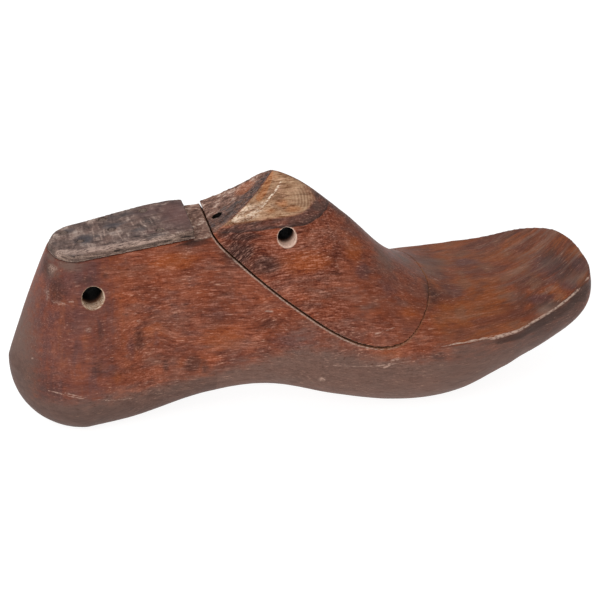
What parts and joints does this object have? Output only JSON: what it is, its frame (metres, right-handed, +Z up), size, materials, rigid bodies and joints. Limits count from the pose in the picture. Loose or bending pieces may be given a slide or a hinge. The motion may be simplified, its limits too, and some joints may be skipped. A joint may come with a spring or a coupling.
{
  "type": "shoe last",
  "caption": "Carved hardwood last for a right foot, with a lift-off instep block on a curved saw cut, drilled hook holes and a leather lift on the heel top.",
  "frame": {"origin": "On the flat of the heel seat, under the middle of the rounded heel", "axes": "+X runs from the heel to the toe, +Y to the inner side of the right foot, +Z up; the heel seat and the tread rest on z = 0"},
  "size_m": [0.2775, 0.095, 0.1129],
  "materials": {
    "stained_hardwood": "dark red-brown stain, worn and rubbed semi-gloss",
    "worn_leather": "old sole leather, blackened and cracked, with a paler fibrous edge",
    "dowel_wood": "bare turned wood",
    "pin_steel": "dull drawn steel",
    "tack_iron": "dark worn iron"
  },
  "bodies": {
    "last": {"last_body": "stained_hardwood", "heel_lift": "worn_leather", "guide_dowel": "dowel_wood", "lift_tack_1": "tack_iron", "lift_tack_2": "tack_iron", "lift_tack_3": "tack_iron", "lift_tack_4": "tack_iron", "lift_tack_5": "tack_iron", "lift_tack_6": "tack_iron"},
    "block": {"instep_block": "stained_hardwood"},
    "pin": {"block_pin": "pin_steel"}
  },
  "joints": [
    {"name": "block_lift", "type": "slide", "parent": "last", "child": "block", "axis": [0, 0, 1], "range_m": [0, 0.06]},
    {"name": "pin_draw", "type": "slide", "parent": "block", "child": "pin", "axis": [0, 0, 1], "range_m": [0, 0.042]}
  ]
}
